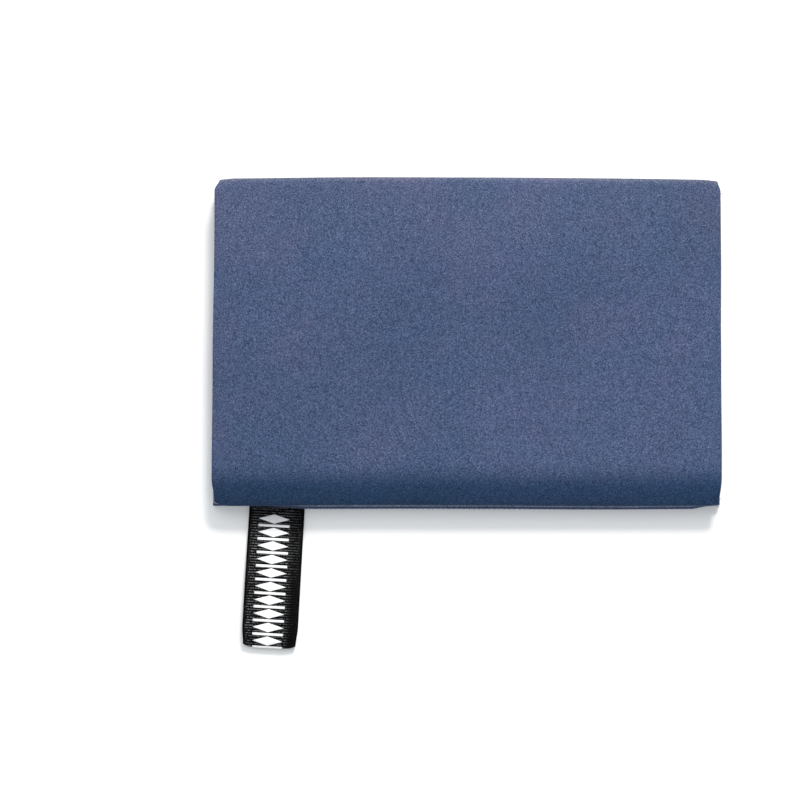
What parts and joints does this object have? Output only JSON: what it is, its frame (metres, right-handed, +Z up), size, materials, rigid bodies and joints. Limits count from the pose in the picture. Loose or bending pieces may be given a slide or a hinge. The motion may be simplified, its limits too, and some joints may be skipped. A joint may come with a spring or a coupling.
{
  "type": "folded travel towel",
  "caption": "Thin microfibre travel towel folded into a flat rectangular pack, with a ribbon hanging loop sewn to one corner; its folds open as hinges.",
  "frame": {"origin": "centre of the folded towel's underside, on the surface it lies on, halfway between the two fold axes and the two side folds", "axes": "+Z up through the stack, +X along the front edge towards the side away from the loop, +Y towards the back fold; the ribbon loop hangs out at -Y, near -X"},
  "size_m": [0.2, 0.1876, 0.0163],
  "materials": {
    "cloth": "matte",
    "thread": "matte",
    "ribbon": "satin",
    "print": "matte"
  },
  "bodies": {
    "bottom_stack": {"bottom_pass_a": "cloth", "bottom_pass_c": "cloth", "bottom_pass_b": "cloth", "bottom_end_turn": "cloth", "bottom_end_hem": "thread", "bottom_outer_hems": "thread", "bottom_inner_hems": "thread", "ribbon_tails": "ribbon", "loop_tack": "thread", "back_roll_a": "cloth", "back_roll_c": "cloth", "back_roll_b": "cloth", "back_roll_hems": "thread"},
    "middle_stack": {"middle_pass_b": "cloth", "middle_pass_c": "cloth", "middle_pass_a": "cloth", "middle_outer_hems": "thread", "middle_inner_hems": "thread", "front_roll_a": "cloth", "front_roll_c": "cloth", "front_roll_b": "cloth", "front_roll_hems": "thread"},
    "top_stack": {"top_pass_a": "cloth", "top_pass_c": "cloth", "top_pass_b": "cloth", "top_end_turn": "cloth", "top_end_hem": "thread", "top_outer_hems": "thread", "top_inner_hems": "thread"},
    "loop": {"loop_ribbon": "ribbon", "loop_print": "print"}
  },
  "joints": [
    {"name": "back_fold", "type": "hinge", "parent": "bottom_stack", "child": "middle_stack", "pos_m": [0, 0.06, 0.0054], "axis": [-1, 0, 0], "range_deg": [0, 179.5], "deforming": ["back_roll_a", "back_roll_b", "back_roll_c", "back_roll_hems"]},
    {"name": "front_fold", "type": "hinge", "parent": "middle_stack", "child": "top_stack", "pos_m": [0, -0.06, 0.01095], "axis": [1, 0, 0], "range_deg": [0, 179.5], "deforming": ["front_roll_a", "front_roll_b", "front_roll_c", "front_roll_hems"]},
    {"name": "loop_swing", "type": "hinge", "parent": "bottom_stack", "child": "loop", "pos_m": [-0.0755, -0.06665, 0], "axis": [1, 0, 0], "range_deg": [0, 90]}
  ]
}
